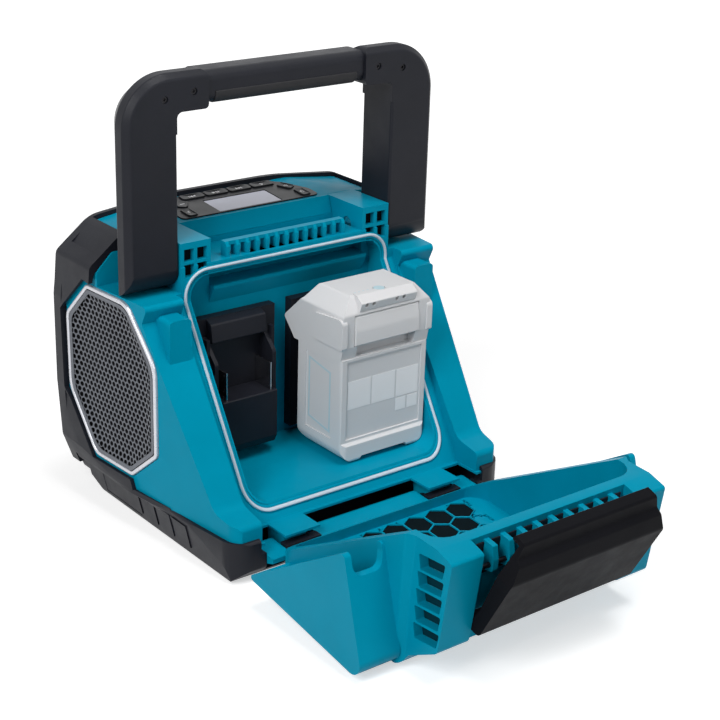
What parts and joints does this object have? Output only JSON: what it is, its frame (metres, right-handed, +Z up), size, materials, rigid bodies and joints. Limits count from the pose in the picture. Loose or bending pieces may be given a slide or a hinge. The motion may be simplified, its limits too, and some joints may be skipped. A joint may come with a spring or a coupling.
{
  "type": "job-site speaker",
  "caption": "Rugged portable speaker with a folding carry handle, perforated metal grilles, top keypad and a hinged rear battery door, shown open with a slide-in battery pack.",
  "frame": {"origin": "middle of the base, on the surface the speaker stands on", "axes": "+Z up, +Y out of the front grille, +X to the right when the battery door is faced"},
  "size_m": [0.266, 0.385, 0.307],
  "materials": {
    "teal_plastic": "satin moulded",
    "black_plastic": "fine grained",
    "cone_plastic": "matt",
    "rubber": "matt",
    "seal_rubber": "matt",
    "silver_trim": "satin silver",
    "grille_metal": "satin",
    "steel": "turned",
    "lens": "clear gloss",
    "board": "solder mask",
    "pack_plastic": "fine grained"
  },
  "bodies": {
    "speaker_body": {"rear_housing": "teal_plastic", "front_baffle": "black_plastic", "baffle_screws": "steel", "top_panel": "teal_plastic", "keypad_bezel": "black_plastic", "keypad_membrane": "rubber", "display_lens": "lens", "display_module": "black_plastic", "front_bumper": "black_plastic", "base_bumper": "black_plastic", "rubber_feet": "rubber", "front_grille": "grille_metal", "front_grille_trim": "silver_trim", "woofer_basket": "black_plastic", "woofer_cone": "cone_plastic", "woofer_surround": "rubber", "woofer_magnet": "steel", "side_grille_left": "grille_metal", "side_grille_right": "grille_metal", "side_trim_left": "silver_trim", "side_trim_right": "silver_trim", "side_driver_left": "black_plastic", "side_driver_right": "black_plastic", "side_cone_left": "cone_plastic", "side_cone_right": "cone_plastic", "compartment_gasket": "seal_rubber", "terminal_block_left": "black_plastic", "terminal_block_right": "black_plastic", "terminal_blades": "steel", "main_board": "board", "door_hinge_pin": "steel"},
    "handle": {"handle_leg_left": "black_plastic", "handle_leg_right": "black_plastic", "handle_crossbar": "black_plastic", "handle_grip_pad": "rubber", "handle_screws": "steel", "handle_pivot_pins": "steel"},
    "battery_door": {"door_shell": "teal_plastic", "latch_rod": "steel", "latch_pivot_pin": "steel", "latch_backing": "black_plastic"},
    "latch_lever": {"latch_lever": "black_plastic"},
    "battery_pack": {"battery_case": "pack_plastic", "battery_cover": "pack_plastic"},
    "pack_release": {"battery_release_button": "pack_plastic"},
    "pack_gauge_button": {"battery_gauge_button": "pack_plastic"},
    "key_previous": {"key_previous": "black_plastic"},
    "key_play": {"key_play": "black_plastic"},
    "key_next": {"key_next": "black_plastic"},
    "key_volume_up": {"key_volume_up": "black_plastic"},
    "key_volume_down": {"key_volume_down": "black_plastic"},
    "key_power": {"key_power": "black_plastic"},
    "key_pairing": {"key_pairing": "black_plastic"},
    "key_tone": {"key_tone": "black_plastic"}
  },
  "joints": [
    {"name": "handle_fold", "type": "hinge", "parent": "speaker_body", "child": "handle", "pos_m": [0, 0.0285, 0.1805], "axis": [1, 0, 0], "range_deg": [0, 90]},
    {"name": "door_hinge", "type": "hinge", "parent": "speaker_body", "child": "battery_door", "pos_m": [0, -0.079, 0.012], "axis": [-1, 0, 0], "range_deg": [0, 93]},
    {"name": "latch_pivot", "type": "hinge", "parent": "battery_door", "child": "latch_lever", "pos_m": [0, -0.25365, 0.0389], "axis": [1, 0, 0], "range_deg": [-18, 30]},
    {"name": "pack_slide", "type": "slide", "parent": "speaker_body", "child": "battery_pack", "axis": [0, 0, 1], "range_m": [0, 0.018]},
    {"name": "release_press", "type": "slide", "parent": "battery_pack", "child": "pack_release", "axis": [0, 1, 0], "range_m": [0, 0.002], "stiffness_N_per_m": 600, "springref_m": -0.0005},
    {"name": "gauge_press", "type": "slide", "parent": "battery_pack", "child": "pack_gauge_button", "axis": [0, 0, -1], "range_m": [0, 0.0006], "stiffness_N_per_m": 500, "springref_m": -0.0003},
    {"name": "key_previous_press", "type": "slide", "parent": "speaker_body", "child": "key_previous", "axis": [0, 0.0872, -0.9962], "range_m": [0, 0.0008], "stiffness_N_per_m": 500, "springref_m": -0.0003},
    {"name": "key_play_press", "type": "slide", "parent": "speaker_body", "child": "key_play", "axis": [0, 0.0872, -0.9962], "range_m": [0, 0.0008], "stiffness_N_per_m": 500, "springref_m": -0.0003},
    {"name": "key_next_press", "type": "slide", "parent": "speaker_body", "child": "key_next", "axis": [0, 0.0872, -0.9962], "range_m": [0, 0.0008], "stiffness_N_per_m": 500, "springref_m": -0.0003},
    {"name": "key_volume_up_press", "type": "slide", "parent": "speaker_body", "child": "key_volume_up", "axis": [0, 0.0872, -0.9962], "range_m": [0, 0.0008], "stiffness_N_per_m": 500, "springref_m": -0.0003},
    {"name": "key_volume_down_press", "type": "slide", "parent": "speaker_body", "child": "key_volume_down", "axis": [0, 0.0872, -0.9962], "range_m": [0, 0.0008], "stiffness_N_per_m": 500, "springref_m": -0.0003},
    {"name": "key_power_press", "type": "slide", "parent": "speaker_body", "child": "key_power", "axis": [0, 0.0872, -0.9962], "range_m": [0, 0.0008], "stiffness_N_per_m": 500, "springref_m": -0.0003},
    {"name": "key_pairing_press", "type": "slide", "parent": "speaker_body", "child": "key_pairing", "axis": [0, 0.0872, -0.9962], "range_m": [0, 0.0008], "stiffness_N_per_m": 500, "springref_m": -0.0003},
    {"name": "key_tone_press", "type": "slide", "parent": "speaker_body", "child": "key_tone", "axis": [0, 0.0872, -0.9962], "range_m": [0, 0.0008], "stiffness_N_per_m": 500, "springref_m": -0.0003}
  ]
}
